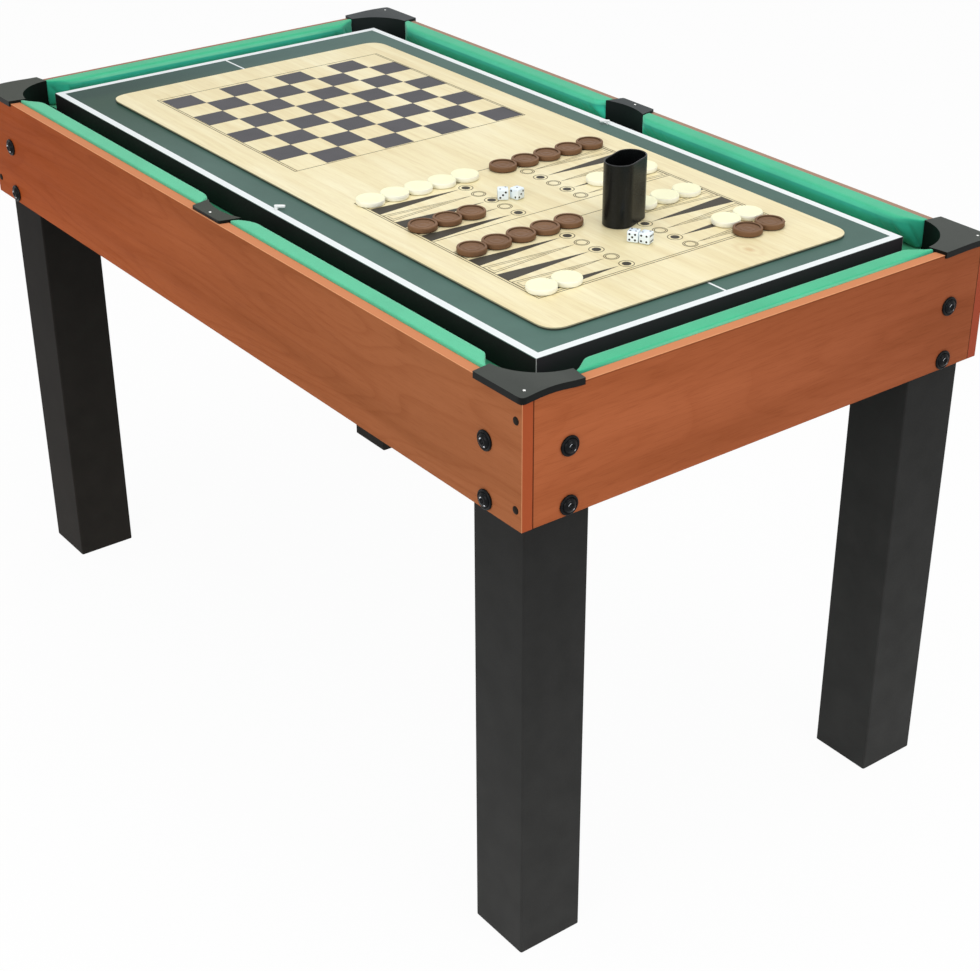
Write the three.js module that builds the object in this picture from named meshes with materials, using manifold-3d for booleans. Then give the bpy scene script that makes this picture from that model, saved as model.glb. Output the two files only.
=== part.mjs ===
// Multi-game table: a small pool table that carries a lift-off tennis board, and on it a game board
// with its checkers, dice and dice cup.
// Millimetres. +X runs along the table, +Y across it, +Z up. The origin is on the floor under the middle.

import * as THREE from 'three';
import { mergeVertices } from 'three/addons/utils/BufferGeometryUtils.js';
import { RoundedBoxGeometry } from 'three/addons/geometries/RoundedBoxGeometry.js';
import Module from 'manifold-3d';

// Fits
const fitGap = 0.3;
const cutOverrun = 4;

// Frame of the table
const tableLength = 1372;
const tableWidth = 762;
const tableHeight = 808;
const apronHeight = 165;
const apronThickness = 15;
const legWidth = 96;
const legWall = 12;
const legFoot = 12;
const legTopDrop = 64;
const legCornerRadius = 3;

// Playing bed and the battens under it
const bedDrop = 37;
const bedThickness = 12;
const bedGrooveDepth = 7;
const battenWidth = 20;
const battenHeight = 40;
const battenOffset = 230;

// Leg bolts
const boltInset = 67;
const upperBoltDrop = 75;
const boltSpacing = 76;
const boltShankRadius = 4;
const boltReach = 37;
const washerRadius = 13;
const washerThickness = 2;
const boltHeadRadius = 8.5;
const boltHeadHeight = 4.5;
const boltSocketRadius = 3.2;
const boltSocketDepth = 2.6;

// Corner pocket caps, measured from the table's outer corner
const capRise = 4.5;
const capWidth = 24;
const capReach = 90;
const capOuterReach = 86;
const capCornerRadius = 7;
const lipThickness = 2.6;
const lipDrop = 4;
const pocketWall = 2.5;
const cornerBackSag = 17;
const cornerFrontSag = 29;
const pocketFloorDrop = 60.5;

// Side pocket caps, measured from the middle of the long side
const sideCapInset = 1.5;
const sideCapOuterHalf = 36;
const sideCapTipHalf = 43;
const sideCapWidth = 31;
const sideBackSag = 9;
const sideFrontSag = 30;

// Cushion rails, measured from the apron's outer face
const noseReach = 43;
const cushionRise = 4;
const cushionFoot = 27;
const noseHeight = 12;
const noseTopRadius = 7;
const noseUnderRadius = 3;
const noseEndRadius = 9;
const cornerCutRun = 33;
const sideCutRun = 14;

// Tennis board: a panel on a deep rim, its margins measured from the table's outer faces
const tennisEndMargin = 76;
const tennisSideMargin = 79;
const tennisTopDrop = 1;
const tennisPanel = 12;
const tennisRim = 15;

// Net hooks on the tennis board's long edges, a little to the right of the middle
const hookShare = 0.027;
const hookInset = 12;
const hookPostRadius = 2.6;
const hookPostHeight = 3.4;
const hookBarLength = 15;
const hookBarWidth = 5.2;
const hookBarThickness = 2.2;
const hookTurn = 50;

// Game board, by the strips of the tennis board that show round it
const gameLeftMargin = 82;
const gameRightMargin = 42;
const gameNearMargin = 54;
const gameFarMargin = 50;
const gameThickness = 4;
const gameCornerRadius = 30;

// Checkers, as shares of the game board's width and of their own diameter
const checkerShare = 0.079;
const recessShare = 0.735;
const biteShare = 0.005;
const checkerHeight = 8;
const checkerRecessDepth = 1.2;
const checkerEdge = 0.8;

// Dice and dice cup, as shares of a checker's diameter
const dieShare = 0.38;
const dieEdgeShare = 0.04;
const cupRadiusShare = 0.537;
const cupStraightShare = 0.38;
const cupHeight = 86;
const cupWall = 2.2;
const cupFloor = 3;

// Facets of the round shapes
const checkerSteps = 24;
const boltSteps = 12;
const cornerSteps = 3;
const boardCornerSteps = 8;
const cupSteps = 12;
const pocketSteps = 48;

// Levels worked out from the sizes above
const halfLength = tableLength / 2;
const halfWidth = tableWidth / 2;
const apronBottom = tableHeight - apronHeight;
const bedTop = tableHeight - bedDrop;
const bedUnderside = bedTop - bedThickness;
const capTop = tableHeight + capRise;
const pocketBottom = tableHeight - pocketFloorDrop - pocketWall;
const tennisLength = tableLength - 2 * tennisEndMargin;
const tennisWidth = tableWidth - 2 * tennisSideMargin;
const tennisBottom = bedTop + fitGap;
const tennisTop = tableHeight - tennisTopDrop;
const gameLength = tennisLength - gameLeftMargin - gameRightMargin;
const gameWidth = tennisWidth - gameNearMargin - gameFarMargin;
const gameX = (gameLeftMargin - gameRightMargin) / 2;
const gameY = (gameNearMargin - gameFarMargin) / 2;
const gameBottom = tennisTop + fitGap;
const gameTop = gameBottom + gameThickness;
const pieceBottom = gameTop + fitGap;
const checkerDiameter = gameWidth * checkerShare;
const dieSize = checkerDiameter * dieShare;
const cupRadius = checkerDiameter * cupRadiusShare;
const cupHalfStraight = checkerDiameter * cupStraightShare;

// Finishes
const finishes = {
  apron: { color: 0x9a5634, roughness: 0.45, metalness: 0 },
  leg: { color: 0x2b2c2b, roughness: 0.5, metalness: 0 },
  cloth: { color: 0x3fae82, roughness: 0.95, metalness: 0 },
  batten: { color: 0x8a6b4a, roughness: 0.8, metalness: 0 },
  blackPlastic: { color: 0x26292a, roughness: 0.45, metalness: 0 },
  blackSteel: { color: 0x17191b, roughness: 0.35, metalness: 0.6 },
  tennis: { color: 0x4d6a60, roughness: 0.5, metalness: 0 },
  whitePlastic: { color: 0xf0f2f0, roughness: 0.4, metalness: 0 },
  maple: { color: 0xeadcb0, roughness: 0.5, metalness: 0 },
  ivory: { color: 0xfbf8d8, roughness: 0.4, metalness: 0 },
  walnut: { color: 0x6a4737, roughness: 0.5, metalness: 0 },
};

const wasm = await Module();
wasm.setup();

const table = new THREE.Group();

// Turns a closed three.js geometry into a solid that can be cut and joined
function solid(geometry) {
  const source = geometry.clone();
  source.deleteAttribute('normal');
  source.deleteAttribute('uv');
  const merged = mergeVertices(source);
  const vertProperties = new Float32Array(merged.attributes.position.array);
  const triVerts = new Uint32Array(merged.index.array);
  return new wasm.Manifold(new wasm.Mesh({ numProp: 3, vertProperties, triVerts }));
}

// Turns a solid back into a three.js geometry
function geometryOf(body) {
  const mesh = body.getMesh();
  const geometry = new THREE.BufferGeometry();
  geometry.setAttribute('position', new THREE.BufferAttribute(new Float32Array(mesh.vertProperties), 3));
  geometry.setIndex(new THREE.BufferAttribute(new Uint32Array(mesh.triVerts), 1));
  geometry.computeVertexNormals();
  return geometry;
}

function add(name, geometry, finish, place = {}) {
  const material = new THREE.MeshStandardMaterial({ ...finishes[finish], flatShading: true });
  const mesh = new THREE.Mesh(geometry, material);
  mesh.name = name;
  mesh.position.set(place.x ?? 0, place.y ?? 0, place.z ?? 0);
  mesh.rotation.z = place.turn ?? 0;
  table.add(mesh);
  return mesh;
}

// A box between two corners
function block(low, high) {
  const size = high.map((value, i) => value - low[i]);
  const geometry = new THREE.BoxGeometry(...size);
  geometry.translate(...high.map((value, i) => (value + low[i]) / 2));
  return solid(geometry);
}

// An outline with rounded corners; each corner is [x, y] or [x, y, radius]
function roundedOutline(corners) {
  const shape = new THREE.Shape();
  corners.forEach(([x, y, radius = 0], i) => {
    const here = new THREE.Vector2(x, y);
    const before = new THREE.Vector2(...corners.at(i - 1).slice(0, 2)).sub(here);
    const after = new THREE.Vector2(...corners[(i + 1) % corners.length].slice(0, 2)).sub(here);
    const start = before.setLength(radius).add(here);
    const end = after.setLength(radius).add(here);
    if (i === 0) shape.moveTo(start.x, start.y);
    else shape.lineTo(start.x, start.y);
    if (radius > 0) shape.quadraticCurveTo(here.x, here.y, end.x, end.y);
  });
  shape.closePath();
  return shape;
}

function rectangle(length, width, radius) {
  const [a, b] = [length / 2, width / 2];
  return roundedOutline([[-a, -b, radius], [a, -b, radius], [a, b, radius], [-a, b, radius]]);
}

// A shape drawn in the floor plan and raised between two heights
function prism(shape, low, high, curveSegments = cornerSteps) {
  const geometry = new THREE.ExtrudeGeometry(shape, { depth: high - low, bevelEnabled: false, curveSegments });
  geometry.translate(0, 0, low);
  return solid(geometry);
}

function disc(x, y, radius) {
  const shape = new THREE.Shape();
  shape.absarc(x, y, radius, 0, 2 * Math.PI);
  return shape;
}

// A round rod along X or Y, from one coordinate to another
function rod(axis, centre, from, to, radius) {
  const geometry = new THREE.CylinderGeometry(radius, radius, to - from, boltSteps);
  if (axis === 'x') geometry.rotateZ(-Math.PI / 2);
  const middle = (from + to) / 2;
  if (axis === 'x') geometry.translate(middle, centre[0], centre[1]);
  else geometry.translate(centre[0], middle, centre[1]);
  return solid(geometry);
}

const boltHeights = [tableHeight - upperBoltDrop, tableHeight - upperBoltDrop - boltSpacing];
const boltHoleRadius = boltShankRadius + fitGap;

// The line across each corner, x + y = cornerLine, where the bed stops short of the pocket
const cornerLine = halfLength + halfWidth - capReach - capWidth;

// An apron as it stands on the -Y side: a board with a groove for the bed and holes for the bolts
function apron(outerFace, halfSpan, grooveHalf, boltHalf) {
  const innerFace = outerFace - apronThickness;
  let body = block([-halfSpan, -outerFace, apronBottom], [halfSpan, -innerFace, tableHeight]);
  const grooveBack = -innerFace - bedGrooveDepth;
  const groove = block(
    [-grooveHalf, grooveBack, bedUnderside - fitGap],
    [grooveHalf, -innerFace + cutOverrun, bedTop + fitGap],
  );
  body = body.subtract(groove);
  for (const side of [-1, 1]) {
    for (const height of boltHeights) {
      const hole = rod('y', [side * boltHalf, height], -outerFace - cutOverrun, -innerFace + cutOverrun, boltHoleRadius);
      body = body.subtract(hole);
    }
  }
  return geometryOf(body);
}

function addAprons() {
  const sideApron = apron(halfWidth, halfLength, cornerLine - halfWidth + apronThickness, halfLength - boltInset);
  add('side_apron_near', sideApron, 'apron');
  add('side_apron_far', sideApron, 'apron', { turn: Math.PI });
  const endHalf = halfWidth - apronThickness - fitGap;
  const endApron = apron(halfLength, endHalf, cornerLine - halfLength + apronThickness, halfWidth - boltInset);
  add('end_apron_right', endApron, 'apron', { turn: Math.PI / 2 });
  add('end_apron_left', endApron, 'apron', { turn: -Math.PI / 2 });
}

// A box-section leg, drawn about its own outer corner at (0, 0) with its body towards -X and +Y
function legGeometry() {
  const inner = apronThickness + fitGap;
  const centre = inner + legWidth / 2;
  const legTop = tableHeight - legTopDrop;
  const boreWidth = legWidth - 2 * legWall;
  const outside = prism(rectangle(legWidth, legWidth, legCornerRadius), 0, legTop);
  const bore = prism(rectangle(boreWidth, boreWidth, 0), legFoot, legTop + cutOverrun);
  let body = outside.subtract(bore).translate([-centre, centre, 0]);
  for (const height of boltHeights) {
    const wallEnd = inner + legWall + cutOverrun;
    body = body.subtract(rod('y', [-boltInset, height], 0, wallEnd, boltHoleRadius));
    body = body.subtract(rod('x', [boltInset, height], -wallEnd, 0, boltHoleRadius));
  }
  return geometryOf(body);
}

// Places of the four corners, in turning order from the right near one
const corners = [
  { name: 'right_near', x: halfLength, y: -halfWidth, turn: 0 },
  { name: 'right_far', x: halfLength, y: halfWidth, turn: Math.PI / 2 },
  { name: 'left_far', x: -halfLength, y: halfWidth, turn: Math.PI },
  { name: 'left_near', x: -halfLength, y: -halfWidth, turn: -Math.PI / 2 },
];

function addLegs() {
  const leg = legGeometry();
  for (const corner of corners) {
    add(`leg_${corner.name}`, leg, 'leg', corner);
  }
}

// A leg bolt with its washer, lying along +Y from its head, which stands off the apron's face
function boltGeometry() {
  const profile = [
    [0, boltReach],
    [boltShankRadius, boltReach],
    [boltShankRadius, 0],
    [washerRadius, 0],
    [washerRadius, -washerThickness],
    [boltHeadRadius, -washerThickness],
    [boltHeadRadius * Math.SQRT1_2, -washerThickness - boltHeadHeight],
    [boltSocketRadius, -washerThickness - boltHeadHeight],
    [boltSocketRadius, -washerThickness - boltHeadHeight + boltSocketDepth],
    [0, -washerThickness - boltHeadHeight + boltSocketDepth],
  ];
  const points = profile.map(([radius, y]) => new THREE.Vector2(radius, y)).reverse();
  const geometry = new THREE.LatheGeometry(points, boltSteps);
  return geometryOf(solid(geometry));
}

function addBolts() {
  const bolt = boltGeometry();
  const places = [];
  for (const corner of corners) {
    const [sx, sy] = [Math.sign(corner.x), Math.sign(corner.y)];
    const alongSide = { x: sx * (halfLength - boltInset), y: sy * (halfWidth + fitGap), turn: sy > 0 ? Math.PI : 0 };
    const alongEnd = { x: sx * (halfLength + fitGap), y: sy * (halfWidth - boltInset), turn: sx * Math.PI / 2 };
    places.push([`side_bolt_${corner.name}`, alongSide], [`end_bolt_${corner.name}`, alongEnd]);
  }
  for (const [name, place] of places) {
    boltHeights.forEach((z, i) => {
      add(`${name}_${i === 0 ? 'upper' : 'lower'}`, bolt, 'blackSteel', { ...place, z });
    });
  }
}

// The centre and radius of an arc that joins two tips a chord apart and bulges by the sag
function bulge(halfChord, sag) {
  const radius = (halfChord ** 2 + sag ** 2) / (2 * sag);
  return { radius, offset: radius - sag };
}

// The pocket's hollow in plan: two discs that cross at the cap's tips.
// They lie about the middle of the line between the tips, and out points to the outside of the table.
function pocketLens(middle, out, halfChord, backSag, frontSag, grow, low, high) {
  const back = bulge(halfChord, backSag);
  const front = bulge(halfChord, frontSag);
  const backDisc = disc(middle[0] - out[0] * back.offset, middle[1] - out[1] * back.offset, back.radius + grow);
  const frontDisc = disc(middle[0] + out[0] * front.offset, middle[1] + out[1] * front.offset, front.radius + grow);
  return prism(backDisc, low, high, pocketSteps).intersect(prism(frontDisc, low, high, pocketSteps));
}

// The plan beyond the line between a corner cap's tips, towards the table's corner
function beyondTips(low, high) {
  const reach = tableWidth / 2;
  const shape = roundedOutline([
    [cornerMiddle[0] - reach, cornerMiddle[1] - reach],
    [cornerMiddle[0] + reach, cornerMiddle[1] - reach],
    [cornerMiddle[0] + reach, cornerMiddle[1] + reach],
  ]);
  return prism(shape, low, high);
}

// A pocket: its cap on the apron, the wall behind the mouth and the shallow cup under the bed
function pocketBody(outline, middle, out, halfChord, backSag, frontSag) {
  const lens = (grow, low, high) => pocketLens(middle, out, halfChord, backSag, frontSag, grow, low, high);
  const cap = prism(outline, tableHeight + fitGap, capTop);
  const cup = lens(pocketWall, pocketBottom, bedUnderside - fitGap);
  const wall = lens(pocketWall, pocketBottom, capTop).intersect(prism(outline, pocketBottom, capTop));
  const hollow = lens(0, pocketBottom + pocketWall, capTop + cutOverrun);
  return cap.add(cup).add(wall).subtract(hollow);
}

const cornerMiddle = [-(capReach + capWidth) / 2, (capReach + capWidth) / 2];
const cornerOut = [Math.SQRT1_2, -Math.SQRT1_2];
const cornerHalfChord = (capReach - capWidth) * Math.SQRT1_2;
const sideMiddle = [0, -halfWidth + sideCapWidth];
const sideOut = [0, -1];

// The corner cap's outline about the table's outer corner at (0, 0), with its arms along -X and +Y
const lipOut = fitGap + lipThickness;
const cornerOutline = roundedOutline([
  [lipOut, -lipOut, capCornerRadius],
  [lipOut, capOuterReach],
  [-capWidth, capReach],
  [-capReach, capWidth],
  [-capOuterReach, -lipOut],
]);

// The side cap's outline, which stays inside the apron's outer face
const sideOutline = roundedOutline([
  [-sideCapOuterHalf, -halfWidth + sideCapInset, capCornerRadius / 2],
  [sideCapOuterHalf, -halfWidth + sideCapInset, capCornerRadius / 2],
  [sideCapTipHalf, sideMiddle[1]],
  [-sideCapTipHalf, sideMiddle[1]],
]);

// The lip that hangs from the corner cap over the aprons' outer faces
function cornerLip() {
  const [low, high] = [tableHeight - lipDrop, tableHeight + fitGap];
  const inside = block(
    [-capReach - cutOverrun, -fitGap, low - cutOverrun],
    [fitGap, capReach + cutOverrun, high],
  );
  return prism(cornerOutline, low, high).subtract(inside);
}

function addPockets() {
  const cornerBody = pocketBody(
    cornerOutline, cornerMiddle, cornerOut, cornerHalfChord, cornerBackSag, cornerFrontSag,
  );
  const corner = geometryOf(cornerBody.add(cornerLip()));
  for (const place of corners) {
    add(`corner_pocket_${place.name}`, corner, 'blackPlastic', place);
  }
  const side = geometryOf(
    pocketBody(sideOutline, sideMiddle, sideOut, sideCapTipHalf, sideBackSag, sideFrontSag),
  );
  add('side_pocket_near', side, 'blackPlastic');
  add('side_pocket_far', side, 'blackPlastic', { turn: Math.PI });
}

// The bed with its edges in the aprons' grooves and its corners and sides cut for the pockets
function addBed() {
  const [a, b] = [halfLength, halfWidth].map((half) => half - apronThickness + bedGrooveDepth - fitGap);
  let bed = block([-a, -b, bedUnderside], [a, b, bedTop]);
  const [low, high] = [bedUnderside - cutOverrun, bedTop + cutOverrun];
  for (const corner of corners) {
    const mouth = pocketLens(
      cornerMiddle, cornerOut, cornerHalfChord, cornerBackSag, cornerFrontSag, fitGap, low, high,
    );
    const cut = beyondTips(low, high).add(mouth)
      .rotate([0, 0, THREE.MathUtils.radToDeg(corner.turn)])
      .translate([corner.x, corner.y, 0]);
    bed = bed.subtract(cut);
  }
  const sideMouth = pocketLens(
    sideMiddle, sideOut, sideCapTipHalf, sideBackSag, sideFrontSag, fitGap, low, high,
  );
  const sideEdge = -halfWidth + apronThickness - bedGrooveDepth - cutOverrun;
  const half = sideCapTipHalf + pocketWall + cutOverrun;
  const sideCut = sideMouth.add(block([-half, sideEdge, low], [half, sideMiddle[1], high]));
  bed = bed.subtract(sideCut).subtract(sideCut.rotate([0, 0, THREE.MathUtils.radToDeg(Math.PI)]));
  add('pool_bed', geometryOf(bed), 'cloth');
}

function addBattens() {
  const half = halfWidth - apronThickness - fitGap;
  const top = bedUnderside - fitGap;
  for (const [name, x] of [['left', -battenOffset], ['right', battenOffset]]) {
    const batten = new THREE.BoxGeometry(battenWidth, 2 * half, battenHeight);
    add(`bed_batten_${name}`, batten, 'batten', { x, z: top - battenHeight / 2 });
  }
}

// A cushion rail on the -Y side: its section runs along X and is trimmed to the plan outline
function cushion(outerFace, plan) {
  const back = outerFace - apronThickness - fitGap;
  const nose = outerFace - noseReach;
  const foot = outerFace - cushionFoot;
  const low = bedTop + fitGap;
  const high = tableHeight + cushionRise;
  const section = roundedOutline([
    [back, low],
    [back, high],
    [nose, high, noseTopRadius],
    [nose, high - noseHeight, noseUnderRadius],
    [foot, low],
  ]);
  const span = tableLength;
  const run = new THREE.ExtrudeGeometry(section, { depth: span, bevelEnabled: false, curveSegments: cornerSteps });
  const acrossToMinusY = new THREE.Vector3(0, -1, 0);
  const up = new THREE.Vector3(0, 0, 1);
  const along = new THREE.Vector3(-1, 0, 0);
  run.applyMatrix4(new THREE.Matrix4().makeBasis(acrossToMinusY, up, along));
  run.translate(span / 2, 0, 0);
  return geometryOf(solid(run).intersect(prism(plan, low - cutOverrun, high + cutOverrun)));
}

// How far along the rail a cap's slanted end has run at a depth from the apron's outer face
function endRun(outerRun, outerDepth, tipRun, tipDepth, depth) {
  return outerRun + (tipRun - outerRun) * (depth - outerDepth) / (tipDepth - outerDepth);
}

// The plan points of a rail's end at a corner pocket, from the apron to the nose
function cornerEnd(outerFace, halfSpan) {
  const backRun = endRun(capOuterReach, -lipOut, capReach, capWidth, apronThickness);
  return [
    [halfSpan - backRun - fitGap, -outerFace + apronThickness],
    [halfSpan - capReach - fitGap, -outerFace + capWidth],
    [halfSpan - capReach - cornerCutRun, -outerFace + noseReach, noseEndRadius],
  ];
}

// The same at a side pocket, from the nose to the apron
function sideEnd() {
  const backRun = endRun(sideCapOuterHalf, sideCapInset, sideCapTipHalf, sideCapWidth, apronThickness);
  return [
    [sideCapTipHalf + sideCutRun, -halfWidth + noseReach, noseEndRadius],
    [sideCapTipHalf + fitGap, -halfWidth + sideCapWidth],
    [backRun + fitGap, -halfWidth + apronThickness],
  ];
}

function mirrored(points) {
  return points.map(([x, y, radius]) => [-x, y, radius]).reverse();
}

function addCushions() {
  const sidePoints = [...cornerEnd(halfWidth, halfLength), ...sideEnd()];
  const right = cushion(halfWidth, roundedOutline(sidePoints));
  const left = cushion(halfWidth, roundedOutline(mirrored(sidePoints)));
  add('cushion_right_near', right, 'cloth');
  add('cushion_left_near', left, 'cloth');
  add('cushion_left_far', right, 'cloth', { turn: Math.PI });
  add('cushion_right_far', left, 'cloth', { turn: Math.PI });
  const endPoints = cornerEnd(halfLength, halfWidth);
  const end = cushion(halfLength, roundedOutline([...endPoints, ...mirrored(endPoints)]));
  add('cushion_end_right', end, 'cloth', { turn: Math.PI / 2 });
  add('cushion_end_left', end, 'cloth', { turn: -Math.PI / 2 });
}

// The tennis board: a top panel on a deep rim that stands on the bed
function addTennisBoard() {
  const [a, b] = [tennisLength / 2, tennisWidth / 2];
  const outside = block([-a, -b, tennisBottom], [a, b, tennisTop]);
  const underside = block(
    [-a + tennisRim, -b + tennisRim, tennisBottom - cutOverrun],
    [a - tennisRim, b - tennisRim, tennisTop - tennisPanel],
  );
  add('tennis_board', geometryOf(outside.subtract(underside)), 'tennis');
}

// A net hook: a short post with a flat bar across its top
function addNetHooks() {
  const barLow = hookPostHeight;
  const barHigh = hookPostHeight + hookBarThickness;
  const bar = prism(rectangle(hookBarLength, hookBarWidth, hookBarThickness), barLow, barHigh)
    .translate([hookBarLength / 2 - hookBarWidth / 2, 0, 0]);
  const post = prism(disc(0, 0, hookPostRadius), 0, barHigh, boltSteps);
  const hook = geometryOf(post.add(bar));
  const turn = THREE.MathUtils.degToRad(hookTurn);
  const y = tennisWidth / 2 - hookInset;
  const x = tennisLength * hookShare;
  add('net_hook_near', hook, 'whitePlastic', { x, y: -y, z: gameBottom, turn });
  add('net_hook_far', hook, 'whitePlastic', { x, y, z: gameBottom, turn: turn + Math.PI });
}

function addGameBoard() {
  const shape = rectangle(gameLength, gameWidth, gameCornerRadius);
  const board = prism(shape, gameBottom, gameTop, boardCornerSteps);
  add('game_board', geometryOf(board), 'maple', { x: gameX, y: gameY });
}

// A place on the game board: shares of its width, leftwards from its right end and up from its middle
function onBoard(leftShare, upShare) {
  return {
    x: gameX + gameLength / 2 - leftShare * gameWidth,
    y: gameY + upShare * gameWidth,
    z: pieceBottom,
  };
}

// One checker with a raised rim
function checkerGeometry() {
  const radius = checkerDiameter / 2;
  const recess = radius * recessShare;
  const profile = [
    [0, 0],
    [radius, 0],
    [radius, checkerHeight - checkerEdge],
    [radius - checkerEdge, checkerHeight],
    [recess, checkerHeight],
    [recess, checkerHeight - checkerRecessDepth],
    [0, checkerHeight - checkerRecessDepth],
  ];
  const points = profile.map(([r, height]) => new THREE.Vector2(r, height));
  const geometry = new THREE.LatheGeometry(points, checkerSteps);
  geometry.rotateX(Math.PI / 2);
  return geometry;
}

// Rows of checkers that touch: name, place of the row's middle, how many stand in it, finish
const rowShares = [
  ['ivory_row_1', 0.934, -0.214, 5, 'ivory'],
  ['brown_row_1', 0.698, -0.288, 3, 'walnut'],
  ['brown_row_2', 0.494, -0.202, 5, 'walnut'],
  ['ivory_row_2', 0.198, -0.33, 2, 'ivory'],
  ['brown_row_3', 0.932, 0.232, 5, 'walnut'],
  ['ivory_row_3', 0.686, 0.302, 3, 'ivory'],
  ['ivory_row_4', 0.476, 0.274, 3, 'ivory'],
  ['ivory_row_5', 0.25, 0.326, 2, 'ivory'],
  ['brown_row_4', 0.166, 0.324, 2, 'walnut'],
];

function addCheckers() {
  const checker = solid(checkerGeometry());
  const pitch = checkerDiameter * (1 - biteShare);
  for (const [name, leftShare, upShare, count, finish] of rowShares) {
    let row = checker.translate([0, (1 - count) / 2 * pitch, 0]);
    for (let i = 1; i < count; i += 1) {
      row = row.add(checker.translate([0, (i + (1 - count) / 2) * pitch, 0]));
    }
    add(name, geometryOf(row), finish, onBoard(leftShare, upShare));
  }
}

// Dice: name, place and turn in degrees
const diceShares = [
  ['die_1', 0.302, 0.014, 25],
  ['die_2', 0.273, 0.031, 28],
  ['die_3', 0.746, -0.068, 63],
  ['die_4', 0.726, -0.035, 10],
];

function addDice() {
  const cube = new RoundedBoxGeometry(dieSize, dieSize, dieSize, 1, checkerDiameter * dieEdgeShare);
  const die = geometryOf(solid(cube).translate([0, 0, dieSize / 2]));
  for (const [name, leftShare, upShare, degrees] of diceShares) {
    const turn = THREE.MathUtils.degToRad(degrees);
    add(name, die, 'whitePlastic', { ...onBoard(leftShare, upShare), turn });
  }
}

// The dice cup's place and turn in degrees
const cupShares = [0.428, 0.088, 21];

// A shape with two straight sides along Y and half-round ends
function stadium(halfStraight, radius) {
  const shape = new THREE.Shape();
  shape.absarc(0, halfStraight, radius, 0, Math.PI);
  shape.absarc(0, -halfStraight, radius, Math.PI, 2 * Math.PI);
  shape.closePath();
  return shape;
}

function addDiceCup() {
  const outside = prism(stadium(cupHalfStraight, cupRadius), 0, cupHeight, cupSteps);
  const inside = prism(stadium(cupHalfStraight, cupRadius - cupWall), cupFloor, cupHeight + cutOverrun, cupSteps);
  const [leftShare, upShare, degrees] = cupShares;
  const turn = THREE.MathUtils.degToRad(degrees);
  const place = { ...onBoard(leftShare, upShare), turn };
  add('dice_cup', geometryOf(outside.subtract(inside)), 'blackPlastic', place);
}

addAprons();
addLegs();
addBolts();
addPockets();
addBed();
addBattens();
addCushions();
addTennisBoard();
addNetHooks();
addGameBoard();
addCheckers();
addDice();
addDiceCup();

export default table;
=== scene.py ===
# %% [markdown]
# # A multi-game table
# The table is a small pool table with a lift-off tennis board on its bed, and on that board lies
# a printed chess and backgammon board with checkers, dice and a cup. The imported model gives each
# solid its place. This lesson dresses the solids: it rounds the edges, shapes the cloth, prints
# the boards and gives every surface a finish.

from math import atan2, cos, degrees, pi, radians, sin

import bmesh
import bpy
from mathutils import Matrix, Quaternion, Vector


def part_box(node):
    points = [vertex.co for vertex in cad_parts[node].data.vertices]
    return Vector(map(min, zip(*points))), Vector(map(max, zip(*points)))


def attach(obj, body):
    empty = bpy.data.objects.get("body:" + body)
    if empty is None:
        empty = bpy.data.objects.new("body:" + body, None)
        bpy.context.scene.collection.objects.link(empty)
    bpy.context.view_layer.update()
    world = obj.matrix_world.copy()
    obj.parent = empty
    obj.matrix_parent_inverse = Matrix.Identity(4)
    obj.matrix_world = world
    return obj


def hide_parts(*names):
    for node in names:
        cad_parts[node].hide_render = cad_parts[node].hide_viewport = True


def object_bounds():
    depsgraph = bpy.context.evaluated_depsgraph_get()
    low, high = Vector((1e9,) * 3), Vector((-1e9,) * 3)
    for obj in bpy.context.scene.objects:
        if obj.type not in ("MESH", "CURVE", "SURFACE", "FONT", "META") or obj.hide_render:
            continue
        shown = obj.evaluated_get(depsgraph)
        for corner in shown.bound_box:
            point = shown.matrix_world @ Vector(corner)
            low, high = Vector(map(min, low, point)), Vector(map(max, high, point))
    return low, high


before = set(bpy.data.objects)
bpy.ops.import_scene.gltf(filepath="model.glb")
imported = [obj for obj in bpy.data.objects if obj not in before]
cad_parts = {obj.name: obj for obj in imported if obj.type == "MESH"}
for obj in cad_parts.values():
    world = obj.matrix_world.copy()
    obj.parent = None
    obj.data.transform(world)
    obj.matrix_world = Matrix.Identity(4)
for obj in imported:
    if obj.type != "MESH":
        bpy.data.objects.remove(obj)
cad_low, cad_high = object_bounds()
scene = bpy.context.scene
apron_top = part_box("side_apron_near")[1].z
cap_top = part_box("corner_pocket_right_near")[1].z
board_low, board_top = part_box("game_board")[0].z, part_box("game_board")[1].z
tennis_low, tennis_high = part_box("tennis_board")
tennis_top = tennis_high.z
print("apron top", round(apron_top, 4))

# %% [markdown]
# ## Helpers for shader nodes
# A finish is a small tree of nodes. Writing `add(...)` for each node and wiring it at once keeps
# the recipes short. Every pattern reads Object coordinates, in metres, so a grain keeps its real
# size on a piece of any length.
#
# Many recipes need a mask, a value that is one in one place and zero elsewhere. `rise` and `fall`
# turn a coordinate into one, and `product` keeps the place where several masks meet.


# %% Node helpers
def start_finish(name, roughness=0.5):
    finish = bpy.data.materials.new(name)
    finish.use_nodes = True
    shader = finish.node_tree.nodes["Principled BSDF"]
    shader.inputs["Roughness"].default_value = roughness
    return finish, finish.node_tree, shader


def add(tree, kind, inputs=None, **settings):
    made = tree.nodes.new(kind)
    for key, value in settings.items():
        setattr(made, key, value)
    for key, value in (inputs or {}).items():
        if isinstance(value, bpy.types.NodeSocket):
            tree.links.new(value, made.inputs[key])
        else:
            made.inputs[key].default_value = value
    return made


def place(tree, scale=(1, 1, 1), location=(0, 0, 0)):
    coordinates = add(tree, "ShaderNodeTexCoord")
    values = {"Vector": coordinates.outputs["Object"], "Scale": scale, "Location": location}
    return add(tree, "ShaderNodeMapping", values).outputs["Vector"]


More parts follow.
